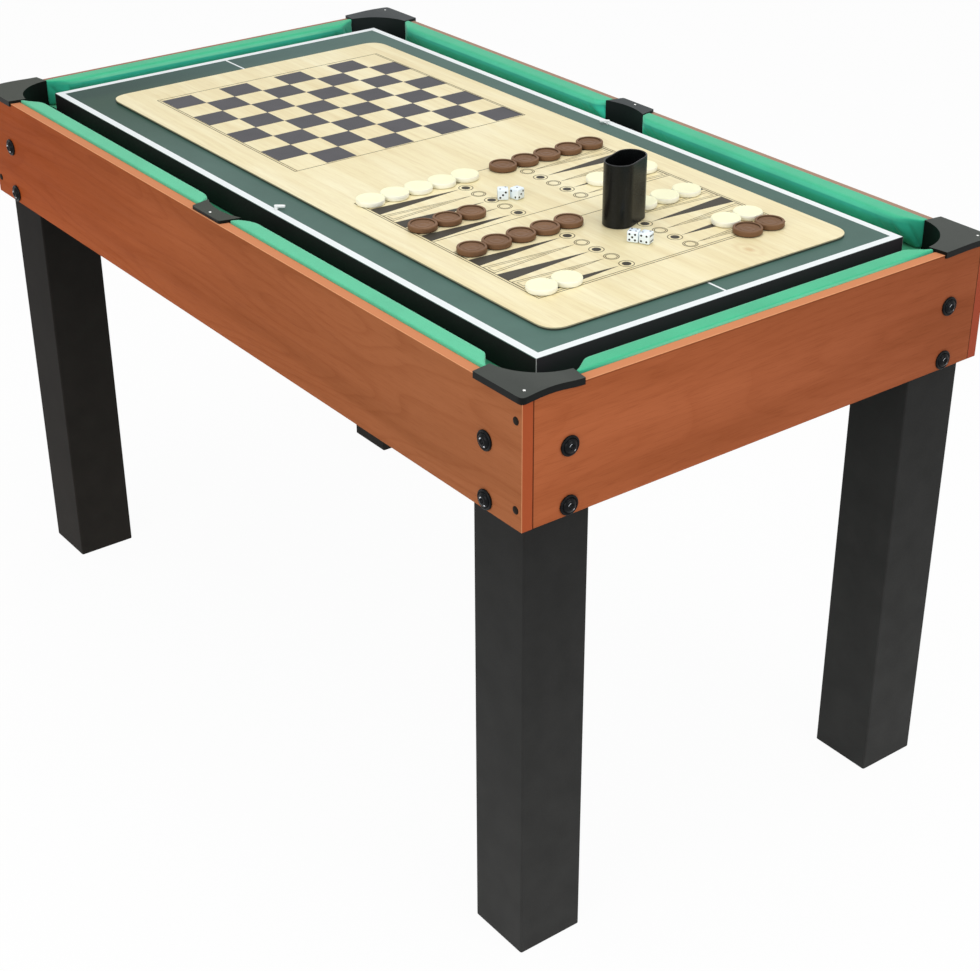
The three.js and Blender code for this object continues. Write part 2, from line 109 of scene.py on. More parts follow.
def noise(tree, vector, scale=1.0, detail=4.0, rough=0.5, distortion=0.0):
    values = {"Vector": vector, "Scale": scale, "Detail": detail, "Roughness": rough}
    values["Distortion"] = distortion
    return add(tree, "ShaderNodeTexNoise", values).outputs["Fac"]


def sums(tree, kind, first, second=0.0):
    return add(tree, "ShaderNodeMath", {0: first, 1: second}, operation=kind).outputs[0]


def axes(tree, normal=False):
    source = add(tree, "ShaderNodeNewGeometry").outputs["Normal"] if normal else place(tree)
    split = add(tree, "ShaderNodeSeparateXYZ", {"Vector": source})
    return split.outputs["X"], split.outputs["Y"], split.outputs["Z"]


def bump(tree, shader, height, strength, distance):
    values = {"Height": height, "Strength": strength, "Distance": distance}
    made = add(tree, "ShaderNodeBump", values)
    tree.links.new(made.outputs["Normal"], shader.inputs["Normal"])


# %% Masks
def spread(tree, value, low, high, to_low, to_high):
    values = {"Value": value, "From Min": low, "From Max": high, "To Min": to_low}
    values["To Max"] = to_high
    return add(tree, "ShaderNodeMapRange", values).outputs["Result"]


def rise(tree, value, low, high):
    return spread(tree, value, low, high, 0.0, 1.0)


def fall(tree, value, low, high):
    return spread(tree, value, low, high, 1.0, 0.0)


def product(tree, first, *others):
    for other in others:
        first = sums(tree, "MULTIPLY", first, other)
    return first


# %% Colour helpers
# The Mix node has a set of sockets for each kind of value. These numbers are its colour set.
MIX_SHARE, MIX_FIRST, MIX_SECOND, MIX_RESULT = 0, 6, 7, 2


def srgb(red, green, blue):
    def linear(channel):
        share = channel / 255
        return share / 12.92 if share <= 0.04045 else ((share + 0.055) / 1.055) ** 2.4

    return linear(red), linear(green), linear(blue)


def opaque(colour):
    return colour if isinstance(colour, bpy.types.NodeSocket) else (*colour, 1)


def blend_colour(tree, share, first, second, mode="MIX"):
    values = {MIX_SHARE: share, MIX_FIRST: opaque(first), MIX_SECOND: opaque(second)}
    made = add(tree, "ShaderNodeMix", values, data_type="RGBA", blend_type=mode)
    return made.outputs[MIX_RESULT]


def ramp(tree, value, stops):
    made = add(tree, "ShaderNodeValToRGB", {"Fac": value})
    for i, (position, colour) in enumerate(stops):
        stop = made.color_ramp.elements[i] if i < 2 else made.color_ramp.elements.new(position)
        stop.position = position
        stop.color = opaque(colour)
    return made.outputs["Color"]


print("shader helpers ready")

# %% [markdown]
# ## Cherry laminate
# The aprons are boards wrapped in a printed cherry foil. Its grain is long and quiet: a broad tone
# that drifts along the board, faint arches like the level lines on a map, thin streaks, and short
# dark pores. Noise that is stretched along the board gives the tones and pores. The arches are the
# level lines of one smooth noise: a fraction node makes each of them dark on one side and soft on
# the other, as the late wood of a tree ring is.


# %% Cherry grain
ARCH_LEVELS = 13.0
ARCH_TONES = [
    (0.0, (0.78, 0.69, 0.61)), (1.0, (0.89, 0.84, 0.79)), (0.36, (1, 1, 1)), (0.9, (1, 1, 1)),
]


def cherry_grain(tree, long, seed, figure, first, last):
    along, across = ((1, 0, 0), (0, 1, 1)) if long else ((0, 1, 0), (1, 0, 1))

    def grain(length, width):
        scale = tuple(length * a + width * c for a, c in zip(along, across))
        return place(tree, scale, (seed, seed, 0))

    broad = noise(tree, grain(1.5, 15), detail=3.0, distortion=0.7)
    smooth = noise(tree, grain(1.9, 11), detail=1.0, rough=0.4, distortion=0.3)
    streak = noise(tree, grain(5, 130), detail=4.0, rough=0.6, distortion=0.4)
    pores = noise(tree, grain(34, 950), detail=2.0)
    tones = [(0.3, srgb(150, 83, 48)), (0.72, srgb(169, 97, 60)), (0.5, srgb(160, 90, 54))]
    tone = ramp(tree, broad, tones)
    arches = ramp(tree, sums(tree, "FRACT", product(tree, smooth, ARCH_LEVELS)), ARCH_TONES)
    figured = blend_colour(tree, figure, tone, arches, "MULTIPLY")
    lines = ramp(tree, streak, [(0.34, (0.56, 0.46, 0.40)), (0.58, (1, 1, 1))])
    streaked = blend_colour(tree, 0.1, figured, lines, "MULTIPLY")
    fine = ramp(tree, pores, [(0.33, (0.42, 0.32, 0.26)), (0.47, (1, 1, 1))])
    grained = blend_colour(tree, 0.19, streaked, fine, "MULTIPLY")
    x, y, _ = axes(tree)
    reach = (x, -0.6, 0.5) if long else (y, -0.35, 0.35)
    drift = blend_colour(tree, rise(tree, *reach), first, last)
    return blend_colour(tree, 1.0, grained, drift, "MULTIPLY"), streak, pores


# %% [markdown]
# ## Edges of the cherry boards
# An apron's top edge carries a tape of its own tone; on the far and left boards the tape is painted
# darker, as shade. The ends of the long boards show beside the short ones, where they are sawn and
# redder, with a dark joint between the two. A thin darker line runs along the short boards under
# their tape, and a pale line is painted along each outer edge as a highlight.


# %% Cherry edges
HALF_LENGTH, HALF_WIDTH, INNER_WIDTH = 0.686, 0.381, 0.366


def cherry_edges(tree, grained, long, tape, sawn_red):
    x, y, z = axes(tree)
    out_x, out_y = sums(tree, "ABSOLUTE", x), sums(tree, "ABSOLUTE", y)
    on_end = rise(tree, out_x, HALF_LENGTH - 0.0003, HALF_LENGTH - 0.0001)
    sawn = rise(tree, out_y, INNER_WIDTH - 0.0003, INNER_WIDTH - 0.0001)
    red = blend_colour(tree, product(tree, on_end, sawn), grained, srgb(*sawn_red))
    joint = rise(tree, out_y, INNER_WIDTH - 0.0018, INNER_WIDTH - 0.0014)
    before_sawn = fall(tree, out_y, INNER_WIDTH - 0.0003, INNER_WIDTH - 0.0001)
    joint = product(tree, joint, before_sawn, on_end, 0.85)
    red = blend_colour(tree, joint, red, srgb(58, 26, 18))
    if not long:
        above = rise(tree, z, apron_top - 0.0028, apron_top - 0.0020)
        below = fall(tree, z, apron_top - 0.0013, apron_top - 0.0009)
        red = blend_colour(tree, product(tree, above, below, 0.5), red, srgb(96, 46, 24))
    on_top = rise(tree, z, apron_top - 0.0009, apron_top - 0.0005)
    taped = blend_colour(tree, on_top, red, tape)
    # A pale line along the outer top edges and the upright corners: a painted highlight.
    edge_x = rise(tree, out_x, HALF_LENGTH - 0.0008, HALF_LENGTH - 0.0003)
    edge_y = rise(tree, out_y, HALF_WIDTH - 0.0009, HALF_WIDTH - 0.0004)
    edge_z = rise(tree, z, apron_top - 0.0008, apron_top - 0.0004)
    rim = product(tree, edge_z, sums(tree, "MAXIMUM", edge_x, edge_y))
    painted_lighting_band = sums(tree, "MAXIMUM", product(tree, edge_x, edge_y), rim)
    return blend_colour(tree, product(tree, painted_lighting_band, 0.42), taped, srgb(240, 180, 132))


# %% Cherry finishes
def cherry(name, long, seed, figure, tape, drift, sawn_red=(168, 82, 48)):
    finish, tree, shader = start_finish(name, 0.46)
    shader.inputs["Specular IOR Level"].default_value = 0.02
    grained, streak, pores = cherry_grain(tree, long, seed, figure, *drift)
    edged = cherry_edges(tree, grained, long, tape, sawn_red)
    tree.links.new(edged, shader.inputs["Base Color"])
    tree.links.new(spread(tree, streak, 0.3, 0.7, 0.54, 0.4), shader.inputs["Roughness"])
    bump(tree, shader, pores, strength=0.05, distance=0.0002)
    return finish


# The far and left tapes are painted darker than the orange one, as shade.
ORANGE, LEFT_TAPE_SHADED, FAR_TAPE_SHADED = srgb(204, 133, 93), srgb(160, 110, 92), srgb(164, 132, 113)
LONG_DRIFT = ((1.09, 0.80, 0.55), (1.02, 1.2, 1.3))
SHORT_DRIFT = ((1.16, 1.12, 1.14), (0.84, 0.8, 0.88))
cherry_long = cherry("cherry_long", True, 0.0, 0.4, ORANGE, LONG_DRIFT)
cherry_short = cherry("cherry_short", False, 5.0, 0.25, ORANGE, SHORT_DRIFT)
cherry_far = cherry("cherry_far", True, 2.0, 0.4, FAR_TAPE_SHADED, LONG_DRIFT, (158, 74, 52))
cherry_left = cherry("cherry_left", False, 8.0, 0.25, LEFT_TAPE_SHADED, SHORT_DRIFT)
print("cherry", [made.name for made in (cherry_long, cherry_short, cherry_far, cherry_left)])

# %% [markdown]
# ## Playing cloth
# Wool cloth is matt and slightly fuzzy. A very fine noise makes the nap, a broad one the soft
# shading left by brushing, and a little sheen lights the fibres at low angles.
#
# Where the cloth turns down over the rail, light and shade are painted into its colour as the
# surface turns away from straight up: a painted highlight on the nose, then a narrow band of
# painted shade, then a paler side lower down, painted light against the shade of the board beside
# it. Each rail's tones are set against the light that falls on it, which makes three slightly
# different greens of the one cloth, each given as four tones: top, its deep fibres, nose and side.
# Beside a corner pocket the turned-down cloth is painted duller, as shade; the last argument says
# along which axis this starts and how far out it is complete.


# %% Cloth finish
NOWHERE = (0, 9.0, 9.1)
SHADED_END_GREEN = srgb(44, 172, 138)


def cloth(name, tones, shaded_ends=NOWHERE):
    top, deep, painted_nose_light, side = (srgb(*tone) for tone in tones)
    finish, tree, shader = start_finish(name, 0.95)
    nap = noise(tree, place(tree), scale=1500, detail=3.0, rough=0.6)
    brushed = noise(tree, place(tree), scale=14, detail=3.0, rough=0.55)
    fibres = ramp(tree, nap, [(0.3, deep), (0.62, top)])
    # Painted light and shade by depth below the rail's top: a painted highlight on the nose, a
    # narrow band of painted shade, then a side painted paler against the shade of the board beside
    # it.
    depth = rise(tree, axes(tree)[2], apron_top + 0.004, apron_top - 0.012)
    painted_lighting_band = tuple(channel * 0.66 for channel in side)
    wall = ramp(tree, depth, [(0.4, painted_nose_light), (0.52, painted_lighting_band), (1.0, side)])
    # Near the corner pockets the turned-down cloth is painted duller, as shade.
    axis, begins, full = shaded_ends
    end_shade = rise(tree, sums(tree, "ABSOLUTE", axes(tree)[axis]), begins, full)
    lower = blend_colour(tree, end_shade, wall, SHADED_END_GREEN)
    upright = rise(tree, axes(tree, normal=True)[2], 0.15, 0.85)
    turned = blend_colour(tree, upright, lower, fibres)
    soft = ramp(tree, brushed, [(0.3, (0.88, 0.9, 0.9)), (0.7, (1, 1, 1))])
    shaded = blend_colour(tree, 1.0, turned, soft, "MULTIPLY")
    tree.links.new(shaded, shader.inputs["Base Color"])
    shader.inputs["Sheen Weight"].default_value = 0.25
    shader.inputs["Sheen Roughness"].default_value = 0.5
    shader.inputs["Specular IOR Level"].default_value = 0.2
    bump(tree, shader, nap, strength=0.25, distance=0.0003)
    return finish


# Each rail's nose and side tones are set against the light that falls on it: painted light and
# shade.
near_cloth = cloth("near_cloth", [(90, 199, 155), (76, 183, 139), (90, 199, 155), (52, 222, 176)])
far_cloth = cloth(
    "far_cloth", [(69, 190, 146), (57, 174, 130), (96, 230, 188), (74, 246, 207)], (0, 0.50, 0.59)
)
end_cloth = cloth(
    "end_cloth", [(66, 190, 142), (54, 174, 126), (118, 220, 178), (64, 236, 200)], (1, 0.20, 0.28)
)
# The bed's cloth is painted darker than the rails' cloth, as the shade under the tennis board.
shaded_bed_cloth = cloth("shaded_bed_cloth", [(60, 170, 125), (48, 150, 108), (60, 170, 125), (30, 130, 96)])
print("cloth", [made.name for made in (near_cloth, far_cloth, end_cloth, shaded_bed_cloth)])

# %% [markdown]
# ## Plain finishes
# Moulded plastic, black laminate, steel, turned wood and paint share one recipe: a base tone that a
# soft noise varies a little, a fine grain in the bump, and a roughness that the grain moves too.
# `surface` holds four numbers: the roughness, how much the tone varies, how fine the grain is, and
# how strongly it stands out. A `side` tone paints light and shade into the upright faces, so they
# come out darker or paler than their tops. The moulded caps and the legs on the left and far sides
# have tones of their own, as the light leaves them on the real table.


# %% Plain finish
def plain(name, tone, surface, metal=0.0, stretch=(1, 1, 1), gloss=0.5, side=None):
    roughness, vary, grain, relief = surface
    finish, tree, shader = start_finish(name, roughness)
    shader.inputs["Specular IOR Level"].default_value = gloss
    shader.inputs["Metallic"].default_value = metal
    broad = noise(tree, place(tree, stretch), scale=24, detail=3.0)
    fine = noise(tree, place(tree, stretch), scale=grain, detail=3.0, rough=0.55)
    dark = tuple(channel * (1 - vary) for channel in srgb(*tone))
    light = tuple(min(channel * (1 + vary), 1) for channel in srgb(*tone))
    toned = ramp(tree, broad, [(0.3, dark), (0.7, light)])
    # Upright faces get the side tone: painted light and shade.
    if side:
        upright = rise(tree, axes(tree, normal=True)[2], 0.3, 0.85)
        toned = blend_colour(tree, upright, srgb(*side), toned)
    tree.links.new(toned, shader.inputs["Base Color"])
    rough = spread(tree, fine, 0.3, 0.7, roughness * 0.88, min(roughness * 1.12, 1))
    tree.links.new(rough, shader.inputs["Roughness"])
    bump(tree, shader, fine, strength=relief, distance=0.0002)
    return finish


# %% Black parts
LAMINATE, MOULDING, STEEL = (0.62, 0.1, 700, 0.05), (0.45, 0.06, 1600, 0.12), (0.3, 0.1, 800, 0.03)
leg_black = plain("leg_black", (56, 56, 55), LAMINATE, gloss=0.07)
leg_deep = plain("leg_deep", (43, 40, 37), LAMINATE, gloss=0.06)
pocket_black = plain("pocket_black", (56, 60, 56), MOULDING, gloss=0.11, side=(12, 14, 13))
left_black = plain("left_black", (48, 53, 45), MOULDING, gloss=0.11, side=(14, 17, 15))
far_black = plain("far_black", (42, 48, 50), MOULDING, gloss=0.12, side=(31, 36, 36))
board_black = plain("board_black", (36, 34, 34), (0.5, 0.1, 300, 0.03), gloss=0.06)
cup_black = plain("cup_black", (15, 17, 18), (0.26, 0.08, 1400, 0.06), gloss=0.22)
bolt_black = plain("bolt_black", (14, 15, 17), (0.28, 0.1, 800, 0.03), gloss=0.1)
screw_dark = plain("screw_dark", (34, 29, 25), (0.5, 0.1, 800, 0.03), gloss=0.05)
bolt_highlight = plain("bolt_highlight", (214, 218, 224), STEEL)
screw_bright = plain("screw_bright", (235, 235, 232), (0.25, 0.05, 900, 0.03), metal=0.9)

# %% Paint, ink, wood and loose pieces
INK, FINE_INK, TURNED = (0.5, 0.08, 700, 0.03), (0.55, 0.1, 900, 0.02), (0.45, 0.14, 260, 0.1)
tennis_green = plain("tennis_green", (70, 98, 90), (0.4, 0.05, 1200, 0.05), gloss=0.09)
line_white = plain("line_white", (228, 233, 234), (0.45, 0.02, 900, 0.04), gloss=0.15)
hook_white = plain("hook_white", (238, 240, 240), (0.35, 0.02, 900, 0.03))
print_black = plain("print_black", (72, 71, 75), INK, gloss=0.15)
print_deep = plain("print_deep", (62, 58, 50), INK, gloss=0.15)
print_line = plain("print_line", (104, 96, 74), FINE_INK, gloss=0.15)
print_brown = plain("print_brown", (158, 148, 118), FINE_INK, gloss=0.15)
batten_wood = plain("batten_wood", (176, 136, 92), (0.7, 0.18, 120, 0.1), stretch=(1, 0.05, 1))
walnut = plain(
    "walnut", (123, 93, 70), TURNED, stretch=(1, 0.3, 1), gloss=0.08, side=(116, 86, 63)
)
walnut_shade = plain("walnut_shade", (74, 54, 38), (0.6, 0.14, 260, 0.1), gloss=0.04)
ivory = plain("ivory", (244, 243, 206), (0.38, 0.02, 900, 0.03), gloss=0.15, side=(248, 247, 232))
dice_white = plain("dice_white", (233, 245, 255), (0.15, 0.01, 600, 0.0))
pip_black = plain("pip_black", (18, 18, 20), (0.3, 0.1, 600, 0.02), gloss=0.3)
print("finishes", len(bpy.data.materials))

# %% [markdown]
# ## Painted shade on the legs
# The legs are painted darker towards their tops, as the shade under the aprons, so their black
# turns paler towards the feet. The height in metres drives a ramp that multiplies the base colour:
# one at the floor, half at the top.
# Marks of this kind are laid over a finish that is already there, so a helper opens it again.


# %% Legs painted darker towards the aprons, as shade
LEG_TOP = 0.62


def reopened(finish):
    tree = finish.node_tree
    shader = tree.nodes["Principled BSDF"]
    return tree, shader.inputs["Base Color"], shader.inputs["Base Color"].links[0].from_socket


for finish in (leg_black, leg_deep):
    tree, base_colour, unshaded_leg = reopened(finish)
    # Painted shade: the legs are darker towards the aprons at their tops.
    height = rise(tree, axes(tree)[2], 0.0, LEG_TOP)
    painted_apron_shade = ramp(tree, height, [(0.0, (1, 1, 1)), (1.0, (0.5, 0.5, 0.5))])
    tree.links.new(blend_colour(tree, 1.0, unshaded_leg, painted_apron_shade, "MULTIPLY"), base_colour)

# %% [markdown]
# ## Painted light on the tennis board
# The black foil round the tennis board is folded at each corner, and a pale highlight is painted up
# each fold. A mask that is one only where both X and Y are at their ends mixes a light grey over
# the black. The edge at the right end is painted paler than the others, as the light from that end
# falls on it.
#
# The green is painted darker towards the near left corner, as shade that fades in by distance from
# it, and along the left end. Towards the near right corner it is painted paler, as a painted
# reflection.


# %% Painted highlights on the board's foil
def foil_highlights(finish, reach_x, reach_y):
    tree, base_colour, under = reopened(finish)
    x, y, _ = axes(tree)
    at_x = rise(tree, sums(tree, "ABSOLUTE", x), reach_x - 0.0010, reach_x - 0.0005)
    at_y = rise(tree, sums(tree, "ABSOLUTE", y), reach_y - 0.0010, reach_y - 0.0005)
    # Painted light: the rim at the right end is paler.
    right_end_light = rise(tree, x, reach_x - 0.0008, reach_x - 0.0004)
    under = blend_colour(tree, right_end_light, under, srgb(53, 49, 53))
    # Painted highlight up each folded corner.
    fold_highlight = product(tree, at_x, at_y, 0.8)
    tree.links.new(blend_colour(tree, fold_highlight, under, srgb(206, 206, 204)), base_colour)


foil_highlights(board_black, tennis_high.x, tennis_high.y)


# %% Painted shade and reflection on the board's green
def painted_board_light(finish, corner_x, corner_y):
    tree, base_colour, even = reopened(finish)
    from_corner = place(tree, (1, 1, 0), (-corner_x, -corner_y, 0))
    away = add(tree, "ShaderNodeVectorMath", {0: from_corner}, operation="LENGTH")
    # Painted shade, darkest at the near left corner.
    near_left_shade = spread(tree, away.outputs["Value"], 0.1, 0.42, 0.85, 0.0)
    deep = blend_colour(tree, near_left_shade, even, srgb(28, 60, 45))
    x, y, _ = axes(tree)
    # Painted shade along the left end.
    at_end = fall(tree, x, corner_x + 0.045, corner_x + 0.075)
    left_end_shade = product(tree, at_end, spread(tree, y, -0.2, 0.28, 1.0, 0.15))
    deep = blend_colour(tree, left_end_shade, deep, (0.53, 0.73, 0.84), "MULTIPLY")
    # Painted reflection: paler towards the near right corner.
    thin = spread(tree, sums(tree, "SUBTRACT", x, y), 0.3, 0.88, 1.0, 1.22)
    right_reflection = add(tree, "ShaderNodeCombineXYZ", {0: thin, 1: thin, 2: thin}).outputs[0]
    tree.links.new(blend_colour(tree, 1.0, deep, right_reflection, "MULTIPLY"), base_colour)


painted_board_light(tennis_green, tennis_low.x, tennis_low.y)
print("tennis board marked", round(tennis_high.x, 4), round(tennis_high.y, 4))

# %% [markdown]
# ## Maple print
# The game board is a thin panel with a printed maple face. Long faint bands, finer lines and a few
# short flecks run along it, and one small knot sits near the right end. The knot is a distance from
# one point: a dark heart and one paler ring round it. The sawn edge is pale, and its lowest part is
# painted dark as the shade where it meets the tennis board.


# %% Maple face
PALE_MAPLE, MAPLE, DEEP_MAPLE = srgb(238, 229, 191), srgb(233, 221, 178), srgb(226, 211, 164)


def maple_face(tree):
    bands = noise(tree, place(tree, (2.2, 16, 1)), detail=4.0, rough=0.55, distortion=1.2)
    lines = noise(tree, place(tree, (6, 130, 1)), detail=5.0, rough=0.6, distortion=0.4)
    flecks = noise(tree, place(tree, (40, 700, 1)), detail=2.0)
    tone = ramp(tree, bands, [(0.28, DEEP_MAPLE), (0.7, PALE_MAPLE), (0.5, MAPLE)])
    drawn = ramp(tree, lines, [(0.34, srgb(206, 176, 122)), (0.58, (1, 1, 1))])
    lined = blend_colour(tree, 0.18, tone, drawn, "MULTIPLY")
    dashes = ramp(tree, flecks, [(0.3, srgb(196, 160, 110)), (0.46, (1, 1, 1))])
    return blend_colour(tree, 0.12, lined, dashes, "MULTIPLY"), lines


# %% Maple knot
KNOT_X, KNOT_Y, SQUASH_X, SQUASH_Y = 0.5281, 0.1063, 0.8, 1.35


def knot_mask(tree):
    off_knot = place(tree, (SQUASH_X, SQUASH_Y, 0), (-SQUASH_X * KNOT_X, -SQUASH_Y * KNOT_Y, 0))
    away = add(tree, "ShaderNodeVectorMath", {0: off_knot}, operation="LENGTH")
    ripple = product(tree, noise(tree, place(tree), scale=60, detail=2.0), 0.004)
    wavy = sums(tree, "ADD", away.outputs["Value"], ripple)
    heart = fall(tree, wavy, 0.005, 0.012)
    ring = product(tree, rise(tree, wavy, 0.013, 0.019), fall(tree, wavy, 0.019, 0.026))
    return sums(tree, "MAXIMUM", product(tree, heart, 0.6), product(tree, ring, 0.2))


# %% Maple finish
maple_print, tree, shader = start_finish("maple_print", 0.42)
flecked, lines = maple_face(tree)
knotted = blend_colour(tree, knot_mask(tree), flecked, srgb(200, 160, 104))
height = axes(tree)[2]
# The lowest part of the edge is painted dark, as shade against the tennis board.
core = rise(tree, height, board_low + 0.0017, board_low + 0.0022)
sawn = blend_colour(tree, core, srgb(58, 62, 50), srgb(172, 164, 136))
on_top = rise(tree, height, board_top - 0.0008, board_top - 0.0004)
tree.links.new(blend_colour(tree, on_top, sawn, knotted), shader.inputs["Base Color"])
bump(tree, shader, lines, strength=0.03, distance=0.0002)
print("maple board", round(board_low, 4), "to", round(board_top, 4))

# %% [markdown]
# ## Making pieces
# A CAD solid has the right shape but hard edges and coarse facets. A copy of it, with doubles
# merged, flat facets joined and a live Bevel on its sharp edges, catches light as a real edge
# does. Smooth shading would bend the light on the large faces beside such a small radius, so a
# Weighted Normal lets the large faces decide. The copy then stands for the solid. Pieces made from
# nothing ride on a body by name.


# %% Piece helpers
def linked(name, bm, finish):
    mesh = bpy.data.meshes.new(name)
    bm.to_mesh(mesh)
    bm.free()
    piece = bpy.data.objects.new(name, mesh)
    scene.collection.objects.link(piece)
    mesh.materials.append(finish)
    return piece


def new_piece(name, bm, finish, body, smooth=True):
    bmesh.ops.recalc_face_normals(bm, faces=bm.faces)
    piece = linked(name, bm, finish)
    if smooth:
        piece.data.shade_smooth()
    else:
        piece.data.shade_flat()
    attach(piece, body)
    return piece


def bevel(piece, width, segments=3, angle=35):
    edge = piece.modifiers.new("edge", "BEVEL")
    edge.width = width
    edge.segments = segments
    edge.limit_method = "ANGLE"
    edge.angle_limit = radians(angle)
    edge.harden_normals = True
    edge.miter_outer = "MITER_ARC"
    flats = piece.modifiers.new("flats", "WEIGHTED_NORMAL")
    flats.mode = "FACE_AREA"
    flats.weight = 80


def merged(node):
    bm = bmesh.new()
    bm.from_mesh(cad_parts[node].data)
    bmesh.ops.remove_doubles(bm, verts=bm.verts, dist=2e-5)
    bmesh.ops.dissolve_limit(
        bm, angle_limit=radians(1), use_dissolve_boundaries=False, verts=bm.verts, edges=bm.edges
    )
    return bm


def refined(node, finish, width, body="table", segments=3, angle=35):
    piece = new_piece(node + "_finished", merged(node), finish, body)
    bevel(piece, width, segments, angle)
    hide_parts(node)
    return piece


ENDS = ["right_near", "right_far", "left_far", "left_near"]

# %% [markdown]
# ## Aprons, legs and battens
# Laminated board has crisp edges, only just broken, so the bevel is well under a millimetre. The
# legs already have their corner radius in the solid, so only their ends are sharp enough for it.

# %% Dress the wooden frame
for node, finish in {
    "side_apron_near": cherry_long,
    "side_apron_far": cherry_far,
    "end_apron_right": cherry_short,
    "end_apron_left": cherry_left,
}.items():
    refined(node, finish, width=0.0006, segments=2)
for end in ENDS:
    finish = leg_deep if end.startswith("left") else leg_black
    refined("leg_" + end, finish, width=0.0008, segments=2, angle=50)
for node in ("bed_batten_left", "bed_batten_right"):
    refined(node, batten_wood, width=0.001, segments=2)
print("frame dressed")

# %% [markdown]
# ## Bed and boards
# The bed is a cloth-covered board, so its edges are soft. The tennis board is painted green on top
# and black on its rim, which takes two finishes on one mesh: faces that look up get the second.


# %% Dress the bed and the two boards
def face_upwards(piece, finish, above):
    piece.data.materials.append(finish)
    for polygon in piece.data.polygons:
        if polygon.normal.z > 0.9 and polygon.center.z > above:
            polygon.material_index = 1


refined("pool_bed", shaded_bed_cloth, width=0.001, segments=2)
tennis = refined("tennis_board", board_black, width=0.0008, body="tennis_board")
face_upwards(tennis, tennis_green, above=tennis_top - 0.001)
refined("game_board", maple_print, width=0.0006, body="game_board", angle=50)
print("board tops", round(tennis_top, 4), round(board_top, 4))

# %% [markdown]
# ## Printed lines
# Paint and print are thin skins. Each mark starts as one flat face; an inset leaves a rim of the
# line's width, and the middle is deleted. A Solidify of a tenth of a millimetre lifts the mark off
# its board, which keeps it crisp from any distance.


# %% Print helpers
def flat_face(bm, corners, z=board_top):
    face = bm.faces.new([bm.verts.new((x, y, z)) for x, y in corners])
    face.normal_update()
    return face


def bar(bm, x0, y0, x1, y1, z=board_top):
    return flat_face(bm, [(x0, y0), (x1, y0), (x1, y1), (x0, y1)], z)


def disc(bm, x, y, radius, segments=28, z=board_top):
    where = Matrix.Translation((x, y, z))
    made = bmesh.ops.create_circle(
        bm, cap_ends=True, segments=segments, radius=radius, matrix=where
    )
    return made["verts"][0].link_faces[0]


def outline(bm, face, width):
    bmesh.ops.inset_region(
        bm, faces=[face], thickness=width, use_boundary=True, use_even_offset=True
    )
    bmesh.ops.delete(bm, geom=[face], context="FACES_KEEP_BOUNDARY")


def printed(name, bm, finish, body, thickness=0.00012):
    for face in bm.faces:
        if face.normal.z < 0:
            face.normal_flip()
    piece = linked(name, bm, finish)
    skin = piece.modifiers.new("skin", "SOLIDIFY")
    skin.thickness = thickness
    skin.offset = 1
    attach(piece, body)


# %% Lines of the tennis board
MARGIN, BORDER, INSIDE, HALF_MIDDLE = 0.0008, 0.0112, 0.012, 0.0016
low, high = tennis_low, tennis_high
marks = bmesh.new()
whole = bar(marks, low.x + MARGIN, low.y + MARGIN, high.x - MARGIN, high.y - MARGIN, tennis_top)
outline(marks, whole, BORDER)
bar(marks, low.x + INSIDE, -HALF_MIDDLE, high.x - INSIDE, HALF_MIDDLE, tennis_top)
printed("tennis_lines", marks, line_white, "tennis_board")
print("tennis border", BORDER)

# %% [markdown]
# ## Chess field
# Eight by eight squares of 49 mm. The dark ones are separate faces that touch only at their
# corners, inside a frame that is double along the long edges and single across.

# %% Print the chess field
LEFT, RIGHT, NEAR, FAR = -0.460, -0.069, -0.193, 0.208
CHESS_FRAME = (-0.4675, -0.1985, -0.0655, 0.2105)
THIN_LINE, FRAME_LINE = 0.0012, 0.0013
step_x, step_y = (RIGHT - LEFT) / 8, (FAR - NEAR) / 8
squares = bmesh.new()
for column in range(8):
    for row in range(8):
        if (column + row) % 2 == 0:
            x, y = LEFT + column * step_x, NEAR + row * step_y
            bar(squares, x, y, x + step_x, y + step_y)
printed("chess_squares", squares, print_black, "game_board")
marks = bmesh.new()
outline(marks, bar(marks, *CHESS_FRAME), FRAME_LINE)
for y in (-0.1947, 0.2058):
    bar(marks, -0.4642, y, -0.0668, y + THIN_LINE)
printed("chess_frame", marks, print_line, "game_board")
print("chess square", round(step_x, 4), "by", round(step_y, 4))

# %% [markdown]
# ## Backgammon field
# Twelve points stand on each long side, in two groups of six with a bar between. Dark points are
# filled, light ones are two nested outlines, and each ends at a small ring. A point is a triangle
# from its base on the frame to its ring, so one function prints them all. Dark and light points
# take turns, and a dark one always faces a light one across the field.

# %% Points of the backgammon field
PITCH, HALF_BASE, HALF_NESTED = 0.0293, 0.0118, 0.0072
TIP_TO_RING, RING, INNER_RING, SPOT = 0.012, 0.0104, 0.0080, 0.0060
point_x = [start + i * PITCH for start in (0.102, 0.322) for i in range(6)]
filled, lines, nested = bmesh.new(), bmesh.new(), bmesh.new()


def point(bm, x, half_base, base_y, tip_y):
    return flat_face(bm, [(x - half_base, base_y), (x + half_base, base_y), (x, tip_y)])


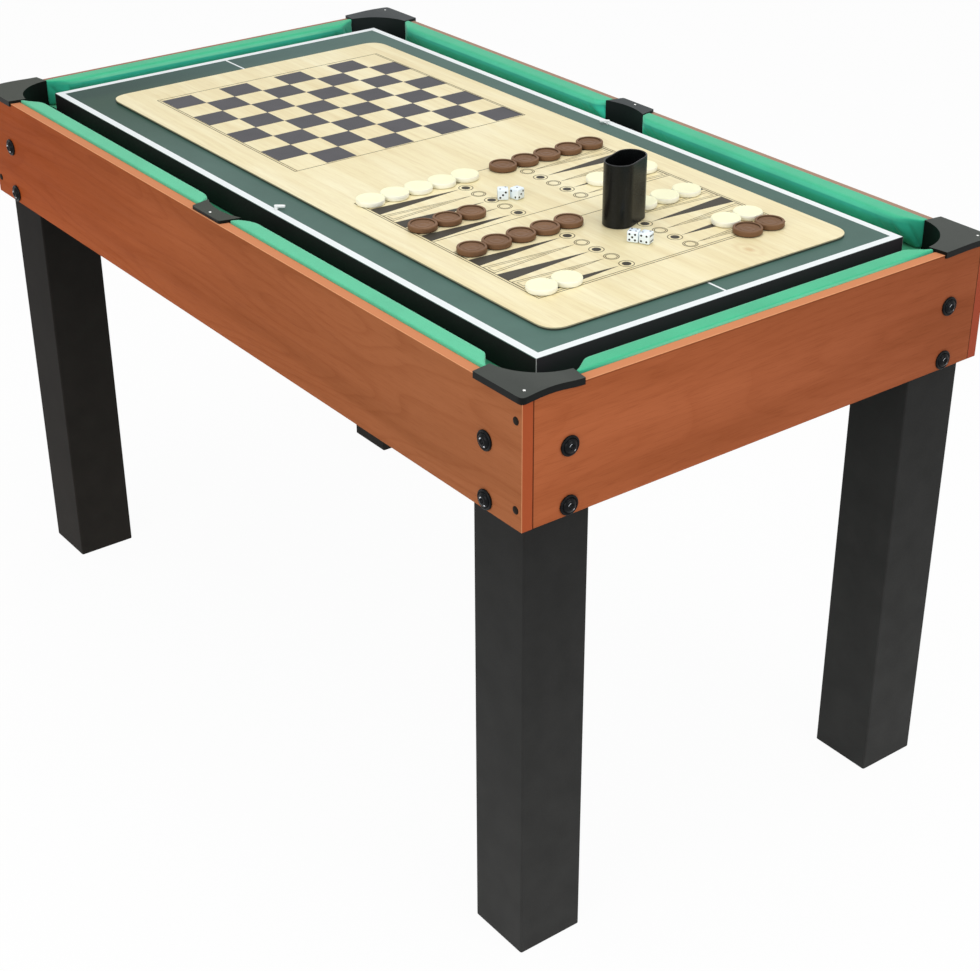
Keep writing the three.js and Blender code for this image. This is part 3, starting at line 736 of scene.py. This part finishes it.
for side, base_y, ring_y in ((-1, -0.1968, -0.047), (1, 0.2068, 0.060)):
    for i, x in enumerate(point_x):
        tip_y = ring_y + side * TIP_TO_RING
        if (i % 2 == 1) == (side < 0):
            point(filled, x, HALF_BASE, base_y, tip_y)
            disc(filled, x, ring_y, SPOT)
            outline(lines, disc(lines, x, ring_y, RING), THIN_LINE)
        else:
            outline(lines, point(lines, x, HALF_BASE, base_y, tip_y), 0.0010)
            small = point(nested, x, HALF_NESTED, base_y - side * 0.004, tip_y + side * 0.030)
            outline(nested, small, 0.0013)
            outline(lines, disc(lines, x, ring_y, RING), THIN_LINE)
            outline(lines, disc(lines, x, ring_y, INNER_RING), 0.0011)
printed("backgammon_dark", filled, print_deep, "game_board")
printed("backgammon_inner", nested, print_brown, "game_board")

# %% Frame of the backgammon field
BACKGAMMON_FRAME = (0.0875, -0.2015, 0.4872, 0.2115)
outline(lines, bar(lines, *BACKGAMMON_FRAME), FRAME_LINE)
for y in (-0.1977, 0.2068):
    bar(lines, 0.0892, y, 0.4830, y + THIN_LINE)
for x in (0.2630, 0.3070, 0.4816):
    bar(lines, x, -0.1963, x + THIN_LINE, 0.2066)
printed("backgammon_lines", lines, print_line, "game_board")
print("backgammon points", 2 * len(point_x))

# %% [markdown]
# ## Pocket castings
# Each pocket is one moulding: a cap over the rail, a wall behind the mouth and a shallow cup. The
# copy of its solid gets a radius of about a millimetre, as a moulding has, so that the cap's rim
# shows a soft line of light.
#
# The arm over the end apron is held only at its two ends, so it bows up a little in between, most
# of all on the near right corner. Cuts across the arm give it the joints to bend at.


# %% Bow of a cap's arm
ARM, RIM, LIP, BENDS = 0.090, 0.030, 0.010, 9


def cut(bm, where, across):
    everything = bm.verts[:] + bm.edges[:] + bm.faces[:]
    bmesh.ops.bisect_plane(bm, geom=everything, plane_co=where, plane_no=across)


def bowed(node, sign_x, sign_y, lift):
    bm = merged(node)
    corner_x, corner_y = sign_x * cad_high.x, sign_y * cad_high.y
    for i in range(1, BENDS):
        cut(bm, (0, corner_y - sign_y * ARM * i / BENDS, 0), (0, 1, 0))
    cut(bm, (corner_x - sign_x * RIM * 0.5, 0, 0), (1, 0, 0))
    for vert in bm.verts:
        along = abs(corner_y - vert.co.y) / ARM
        rim = max(0.0, 1 - abs(corner_x - vert.co.x) / RIM)
        if vert.co.z > apron_top - LIP:
            vert.co.z += lift * sin(pi * min(along, 1.0)) ** 1.5 * min(1.0, rim * 1.4)
    return bm


def signs(end):
    return (1 if end.startswith("right") else -1), (1 if end.endswith("far") else -1)


# %% Dress the pockets
for end in ENDS:
    lift = 0.0036 if end == "right_near" else 0.0012
    bm = bowed("corner_pocket_" + end, *signs(end), lift)
    finish = {"left_far": far_black, "left_near": left_black}.get(end, pocket_black)
    cap = new_piece(f"corner_pocket_{end}_finished", bm, finish, "table")
    bevel(cap, width=0.0014, angle=38)
    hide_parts("corner_pocket_" + end)
for side, finish in (("near", left_black), ("far", far_black)):
    refined("side_pocket_" + side, finish, width=0.0009, angle=38)
print("cap top", round(cap_top, 4))

# %% [markdown]
# ## Cushion rails
# A cushion is a rubber nose under stretched cloth. Remeshing the solid gives an even skin that can
# be relaxed: the hard edges settle into the roundness of pulled cloth. Near each pocket the cloth
# is folded under, so the skin gets a few slanting creases that fade along the rail. The tips of the
# near and right rails also thin out towards the wood, where the cloth is pulled round the rubber.

# %% Measures of the cloth's folds
VOXEL, SETTLES, SHRINK = 0.0022, 3, 0.0002
CREASE_REACH, CREASE_PITCH, CREASE_DEPTH = 0.085, 0.024, 0.0028
CREASE_TOP, CREASE_FADE, CREASE_SLANT = 0.005, 0.010, 70
TIP_REACH, TIP_LOSS = 0.032, 0.55


# %% Cushion helpers
def relaxed(piece):
    skin = piece.modifiers.new("skin", "REMESH")
    skin.mode = "VOXEL"
    skin.voxel_size = VOXEL
    evaluated = piece.evaluated_get(bpy.context.evaluated_depsgraph_get())
    dense = bmesh.new()
    dense.from_mesh(evaluated.to_mesh())
    piece.modifiers.clear()
    for _ in range(SETTLES):
        bmesh.ops.smooth_vert(
            dense, verts=dense.verts, factor=0.5, use_axis_x=True, use_axis_y=True, use_axis_z=True
        )
    dense.normal_update()
    return dense


def cushion(node, along, finish, tapered):
    piece = new_piece(node + "_cloth", merged(node), finish, "table")
    dense = relaxed(piece)
    low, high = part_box(node)
    across = 1 - along
    wood = high[across] if abs(high[across]) > abs(low[across]) else low[across]
    for vert in dense.verts:
        to_tip = min(vert.co[along] - low[along], high[along] - vert.co[along])
        fade = max(0.0, 1 - to_tip / CREASE_REACH)
        under = max(0.0, min(1.0, (high.z - CREASE_TOP - vert.co.z) / CREASE_FADE))
        wave = sin(vert.co[along] * pi / CREASE_PITCH + vert.co.z * CREASE_SLANT)
        crease = (1 - abs(wave)) ** 3
        vert.co -= vert.normal * (crease * CREASE_DEPTH * fade * under + SHRINK)
        if tapered:
            thin = max(0.0, 1 - to_tip / TIP_REACH) ** 1.4
            vert.co[across] = wood + (vert.co[across] - wood) * (1 - TIP_LOSS * thin)
    dense.to_mesh(piece.data)
    dense.free()
    piece.data.materials.clear()
    piece.data.materials.append(finish)
    piece.data.shade_smooth()
    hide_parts(node)
    return piece


# %% Make the six cushions
for node in ("cushion_right_near", "cushion_left_near"):
    made = cushion(node, 0, near_cloth, True)
for node in ("cushion_left_far", "cushion_right_far"):
    made = cushion(node, 0, far_cloth, False)
for node in ("cushion_end_right", "cushion_end_left"):
    made = cushion(node, 1, end_cloth, node == "cushion_end_right")
print("cushion faces", len(made.data.polygons))

# %% [markdown]
# ## Turned pieces
# Checkers, bolt heads and screws are round, so one profile is spun about an axis. The profile is a
# chain of a few points joined by edges, and `spin` with merging closes it.


# %% Lathe helpers
def lathe(profile, steps=48):
    bm = bmesh.new()
    chain = [bm.verts.new((radius, 0, height)) for radius, height in profile]
    edges = [bm.edges.new(pair) for pair in zip(chain, chain[1:])]
    bmesh.ops.spin(
        bm, geom=chain + edges, cent=(0, 0, 0), axis=(0, 0, 1), angle=2 * pi, steps=steps,
        use_merge=True,
    )
    bmesh.ops.remove_doubles(bm, verts=bm.verts, dist=1e-6)
    bmesh.ops.recalc_face_normals(bm, faces=bm.faces)
    mesh = bpy.data.meshes.new("turned")
    bm.to_mesh(mesh)
    bm.free()
    return mesh


def set_in(mesh, where, outward, scale=1.0):
    bm = bmesh.new()
    bm.from_mesh(mesh)
    turn = outward.to_track_quat("Z", "Y").to_matrix().to_4x4() @ Matrix.Scale(scale, 4)
    bmesh.ops.transform(bm, matrix=Matrix.Translation(where) @ turn, verts=bm.verts)
    return bm


# %% [markdown]
# ## Checkers
# A brown checker has a raised rim, a deep face with a faint ring, and rounded outer edges. An ivory
# one is almost flat. Touching checkers of one row are made together, because the solid under them
# is one piece too.

# %% Checker shapes
CHECKER = 0.0395
EDGE = [
    (0, 0), (0.0178, 0), (0.0190, 0.0004), (0.01972, 0.0013), (0.01972, 0.0065), (0.0194, 0.0074),
    (0.0188, 0.0079),
]
DEEP = [
    (0.0180, 0.0080), (0.0170, 0.0080), (0.0163, 0.0077), (0.0159, 0.0070), (0.0157, 0.0062),
    (0.0150, 0.0059), (0.0108, 0.0059), (0.0104, 0.0062), (0.0092, 0.0062), (0.0088, 0.0059),
    (0.0040, 0.0059), (0.0034, 0.0061), (0, 0.0061),
]
SHALLOW = [(0.0180, 0.0080), (0.0168, 0.0080), (0.0160, 0.0078), (0.0152, 0.0077), (0, 0.0077)]
WALL_FROM, WALL_TO = 0.0150, 0.0166
# The recess wall and the underside of a brown checker take a darker walnut: painted shade in the
# recess and under the checker.
brown_mesh, ivory_mesh = lathe(EDGE + DEEP), lathe(EDGE + SHALLOW)
for polygon in brown_mesh.polygons:
    out = Vector(polygon.center.xy).length
    leans = polygon.center.z > 0.005 and polygon.normal.z < 0.9
    if (leans and WALL_FROM < out < WALL_TO) or polygon.center.z < 0.001:
        polygon.material_index = 1

# %% Make the checkers
ROWS = {
    "ivory_row_1": (5, ivory), "brown_row_1": (3, walnut), "brown_row_2": (5, walnut),
    "ivory_row_2": (2, ivory), "brown_row_3": (5, walnut), "ivory_row_3": (3, ivory),
    "ivory_row_4": (3, ivory), "ivory_row_5": (2, ivory), "brown_row_4": (2, walnut),
}
for node, (count, finish) in ROWS.items():
    low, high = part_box(node)
    pitch = (high.y - low.y - CHECKER) / (count - 1)
    bm = bmesh.new()
    for i in range(count):
        first = len(bm.verts)
        bm.from_mesh(brown_mesh if finish is walnut else ivory_mesh)
        bm.verts.ensure_lookup_table()
        where = Vector(((low.x + high.x) / 2, low.y + CHECKER / 2 + i * pitch, low.z))
        bmesh.ops.translate(bm, vec=where, verts=bm.verts[first:])
    piece = new_piece(node + "_turned", bm, finish, node)
    if finish is walnut:
        piece.data.materials.append(walnut_shade)
    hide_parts(node)
print("checkers", sum(count for count, _ in ROWS.values()))

# %% [markdown]
# ## Dice
# A die is a cube with well rounded edges. Its pips are shallow black dots; each face lists where
# they sit, and opposite faces add up to seven. Two dice have one value turned a quarter round. A
# pip is made flat at the middle of the world, given its thickness, and then carried to its face.

# %% Values of the dice
PIPS = {
    1: [(0, 0)], 2: [(-1, -1), (1, 1)], 3: [(-1, -1), (0, 0), (1, 1)],
    4: [(-1, -1), (-1, 1), (1, -1), (1, 1)], 5: [(-1, -1), (-1, 1), (0, 0), (1, -1), (1, 1)],
    6: [(-1, -1), (-1, 0), (-1, 1), (1, -1), (1, 0), (1, 1)],
}
DICE = {
    "die_1": (33, (5, 1, 4)), "die_2": (23, (4, 6, 2)),
    "die_3": (55, (3, 1, 2)), "die_4": (10, (2, 3, 1)),
}
QUARTER_TURNED = {"die_2": 6, "die_4": 2}
PIP_STEP, PIP_RADIUS, PIP_DEPTH, PIP_HEIGHT = 0.25, 0.096, 0.0002, 0.00026
DIE_EDGE = 0.0019


def to_side(angle):
    return Matrix.Rotation(radians(angle), 4, "Z") @ Matrix.Rotation(pi / 2, 4, "X")


FACES = [
    to_side(0), to_side(90), Matrix.Identity(4), to_side(180), to_side(-90),
    Matrix.Rotation(pi, 4, "X"),
]


# %% Die helpers
def add_pip(bm, radius, matrix):
    first = len(bm.verts)
    face = disc(bm, 0, 0, radius, 16, z=0)
    raised = bmesh.ops.extrude_face_region(bm, geom=[face])["geom"]
    lid = [made for made in raised if isinstance(made, bmesh.types.BMVert)]
    bmesh.ops.translate(bm, vec=(0, 0, PIP_HEIGHT), verts=lid)
    bm.verts.ensure_lookup_table()
    bmesh.ops.transform(bm, matrix=matrix, verts=bm.verts[first:])


def die_cube(size, where):
    bm = bmesh.new()
    bmesh.ops.create_cube(bm, size=size, matrix=where)
    bmesh.ops.bevel(
        bm, geom=bm.edges[:], offset=DIE_EDGE, segments=4, profile=0.5, affect="EDGES", material=-1
    )
    return bm


# %% Make the dice
for node, (angle, (front, right, top)) in DICE.items():
    low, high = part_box(node)
    size = high.z - low.z
    where = Matrix.Translation((low + high) / 2) @ Matrix.Rotation(radians(angle), 4, "Z")
    cube = new_piece(node + "_cube", die_cube(size, where), dice_white, node)
    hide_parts(node)
    dots = bmesh.new()
    for turn, value in zip(FACES, (front, right, top, 7 - front, 7 - right, 7 - top)):
        for u, v in PIPS[value]:
            if QUARTER_TURNED.get(node) == value:
                u, v = -v, u
            spot = (u * size * PIP_STEP, v * size * PIP_STEP, size / 2 - PIP_DEPTH)
            add_pip(dots, size * PIP_RADIUS, where @ turn @ Matrix.Translation(spot))
    new_piece(node + "_pips", dots, pip_black, node, smooth=False)
print("dice", len(DICE))

# %% [markdown]
# ## Dice cup
# The cup is a moulded oval tube. Its rim is rounded over, and the wall stays plain so that the
# studio light draws the long soft highlights down it.

# %% Dress the cup
cup = refined("dice_cup", cup_black, width=0.0009, body="dice_cup", angle=40)
print("cup faces", len(cup.data.polygons))

# %% [markdown]
# ## Net hooks
# Two small white hooks on the long edges hold a tennis net. The solid has the foot, the short
# stem and the flat bar already, so the copy only has its edges rounded.

# %% Make the net hooks
for side in ("near", "far"):
    hook = refined("net_hook_" + side, hook_white, width=0.0007, body="tennis_board", angle=40)
print("hook faces", len(hook.data.polygons))

# %% [markdown]
# ## Leg bolts
# A wide washer with a rolled rim carries a low domed head with a socket. All of it is one turned
# profile. Two small patches of the head are painted bright, as highlights.

# %% Bolt shape
SHANK, HEAD_HEIGHT = 0.037, 0.0065
BOLT = [
    (0, -SHANK), (0.0040, -SHANK), (0.0040, 0), (0.0124, 0), (0.0129, 0.0004), (0.0130, 0.0012),
    (0.0126, 0.0022), (0.0117, 0.0027), (0.0107, 0.0026), (0.0099, 0.0018), (0.0094, 0.0014),
    (0.0092, 0.0022), (0.0087, 0.0034), (0.0076, 0.0045), (0.0060, 0.0052), (0.0046, 0.0055),
    (0.0039, 0.0055), (0.0034, 0.0050), (0.0031, 0.0034), (0, 0.0033),
]
bolt_mesh = lathe(BOLT, 36)
# Two small patches of each head take a bright finish: painted highlights.
HIGHLIGHT_PATCHES = [(0.0034, 0.0045, 105, 165), (0.0060, 0.0076, -55, -35)]
for polygon in bolt_mesh.polygons:
    middle = polygon.center
    far_out = Vector((middle.x, middle.y)).length
    turn = degrees(atan2(middle.y, middle.x))
    for inner_edge, outer_edge, first, last in HIGHLIGHT_PATCHES:
        if middle.z > 0.004 and inner_edge < far_out < outer_edge and first < turn < last:
            polygon.material_index = 1

# %% Set the bolts
for end in ENDS:
    for kind, axis in (("side", 1), ("end", 0)):
        for level in ("upper", "lower"):
            node = f"{kind}_bolt_{end}_{level}"
            low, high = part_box(node)
            under_head, outward = (low + high) / 2, Vector((0, 0, 0))
            outward[axis] = 1 if under_head[axis] > 0 else -1
            tip = high[axis] if outward[axis] > 0 else low[axis]
            under_head[axis] = tip - outward[axis] * HEAD_HEIGHT
            bm = set_in(bolt_mesh, under_head, outward)
            piece = new_piece(node + "_turned", bm, bolt_black, "table")
            piece.data.materials.append(bolt_highlight)
            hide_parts(node)
print("bolts", 4 * len(ENDS), "faces each", len(bolt_mesh.polygons))

# %% [markdown]
# ## Small screws
# Two small dark screws sit near each end of the long aprons, and one bright screw in each pocket
# cap. Each head is a low turned dome on a short shank that sinks into the piece below it. The cap
# of the near right corner bows up most, so its screw stands a little higher.

# %% Small screws
SCREW = [
    (0, -0.004), (0.0018, -0.004), (0.0018, 0), (0.0044, 0), (0.0044, 0.0004), (0.0034, 0.0011),
    (0.0016, 0.0014), (0, 0.0014),
]
UP = Vector((0, 0, 1))
screw_mesh = lathe(SCREW, 24)
APRON_SCREW_X, APRON_SCREW_DEPTHS, APRON_SCALE = 0.675, {"upper": 0.028, "lower": 0.140}, 1.15
CAP_SCREW_X, CAP_SCREW_Y, SIDE_CAP_SCREW_Y, CAP_SCALE = 0.6745, 0.3695, 0.372, 0.45


def screw(name, where, outward, finish, scale):
    new_piece(name, set_in(screw_mesh, Vector(where), outward, scale), finish, "table")


for end in ENDS:
    sign_x, sign_y = signs(end)
    outward = Vector((0, sign_y, 0))
    for level, depth in APRON_SCREW_DEPTHS.items():
        where = (sign_x * APRON_SCREW_X, sign_y * HALF_WIDTH, apron_top - depth)
        screw(f"apron_screw_{end}_{level}", where, outward, screw_dark, APRON_SCALE)
    lifted = cap_top + (0.0010 if end == "right_near" else 0.0001)
    where = (sign_x * CAP_SCREW_X, sign_y * CAP_SCREW_Y, lifted)
    screw(f"cap_screw_{end}", where, UP, screw_bright, CAP_SCALE)
for side, sign_y in (("near", -1), ("far", 1)):
    where = (0, sign_y * SIDE_CAP_SCREW_Y, cap_top - 0.0002)
    screw(f"cap_screw_{side}", where, UP, screw_bright, CAP_SCALE)
print("screw faces", len(screw_mesh.polygons))

# %% [markdown]
# ## Floor and sky
# The floor is pale and plain. A camera ray sees it almost white, while it still takes the table's
# shadow. The sky is white too where it is seen, directly or in a reflection, and gives the scene a
# softer light of its own. Both use one mask of the rays that reach the camera.


# %% Floor
SEEN_WHITE, SKY_LIGHT = 0.96, 0.45
FLOOR_REACH, FLOOR_DROP = 14, 0.0005


def seen_rays(tree):
    path = add(tree, "ShaderNodeLightPath")
    seen = sums(tree, "MAXIMUM", path.outputs["Is Camera Ray"], path.outputs["Is Glossy Ray"])
    return sums(tree, "MAXIMUM", seen, path.outputs["Is Transmission Ray"])


def pale_floor():
    finish, tree, shader = start_finish("pale_floor", 0.9)
    mottle = noise(tree, place(tree), scale=3, detail=3.0)
    colour = ramp(tree, mottle, [(0.3, (0.86, 0.86, 0.86)), (0.7, (0.9, 0.9, 0.9))])
    tree.links.new(colour, shader.inputs["Base Color"])
    shader.inputs["Specular IOR Level"].default_value = 0.1
    white = add(tree, "ShaderNodeEmission", {"Color": (1, 1, 1, 1), "Strength": 1.0})
    share = product(tree, seen_rays(tree), SEEN_WHITE)
    surfaces = {0: share, 1: shader.outputs["BSDF"], 2: white.outputs["Emission"]}
    shown = add(tree, "ShaderNodeMixShader", surfaces).outputs["Shader"]
    tree.links.new(shown, tree.nodes["Material Output"].inputs["Surface"])
    return finish


bm = bmesh.new()
bmesh.ops.create_grid(bm, x_segments=1, y_segments=1, size=FLOOR_REACH)
floor = linked("floor", bm, pale_floor())
floor.location = (0, 0, -FLOOR_DROP)

# %% Sky
sky = bpy.data.worlds.new("studio")
scene.world = sky
sky.use_nodes = True
tree = sky.node_tree
level = spread(tree, seen_rays(tree), 0.0, 1.0, SKY_LIGHT, 1.0)
tree.nodes["Background"].inputs["Color"].default_value = (1, 1, 1, 1)
tree.links.new(level, tree.nodes["Background"].inputs["Strength"])
print("floor and sky ready")

# %% [markdown]
# ## Lamps
# A big soft light hangs above, a second one stands on the camera's side and a third at the right
# end. They are sized so that their shadows stay faint, and their power is set to the level where a
# colour renders about as it is written.


# %% Lamps
def soft_light(name, where, target, size, watts):
    data = bpy.data.lights.new(name, "AREA")
    data.shape = "RECTANGLE"
    data.size, data.size_y = size
    data.energy = watts
    lamp = bpy.data.objects.new(name, data)
    lamp.location = where
    lamp.rotation_euler = (Vector(target) - Vector(where)).to_track_quat("-Z", "Y").to_euler()
    scene.collection.objects.link(lamp)


soft_light("overhead", (0.3, 0.2, 3.4), (0, 0, 0.7), (3.0, 2.6), 52)
soft_light("window", (1.2, -3.4, 1.9), (0, 0, 0.6), (2.4, 1.8), 46)
soft_light("side", (3.6, 0.6, 1.7), (0, 0, 0.6), (1.6, 1.6), 29)
print("lamps", len(bpy.data.lights))

# %% [markdown]
# ## Camera
# The camera's place, turn and lens were fitted to the edges and corners of the table's top, which
# is the part of the picture that holds the most straight lines of known length. The focal length
# comes out in pixels, so it is divided by the picture's width to give millimetres of lens.

# %% Camera
FOCAL_PX, PICTURE_PX, SENSOR_MM = 1914.24, 980, 36
EYE = (2.13614, -1.51679, apron_top + 0.92691)
pitch, yaw, roll = radians(29.223), radians(143.023), radians(-0.188)
camera_data = bpy.data.cameras.new("camera")
camera_data.sensor_width = SENSOR_MM
camera_data.lens = FOCAL_PX / PICTURE_PX * SENSOR_MM
camera_data.clip_start, camera_data.clip_end = 0.05, 60
camera = bpy.data.objects.new("camera", camera_data)
camera.location = EYE
gaze = Vector((cos(yaw) * cos(pitch), sin(yaw) * cos(pitch), -sin(pitch)))
camera.rotation_mode = "QUATERNION"
camera.rotation_quaternion = gaze.to_track_quat("-Z", "Y") @ Quaternion((0, 0, 1), roll)
scene.collection.objects.link(camera)
scene.camera = camera
scene.view_settings.view_transform = "Standard"
print("lens", round(camera_data.lens, 2), "mm")
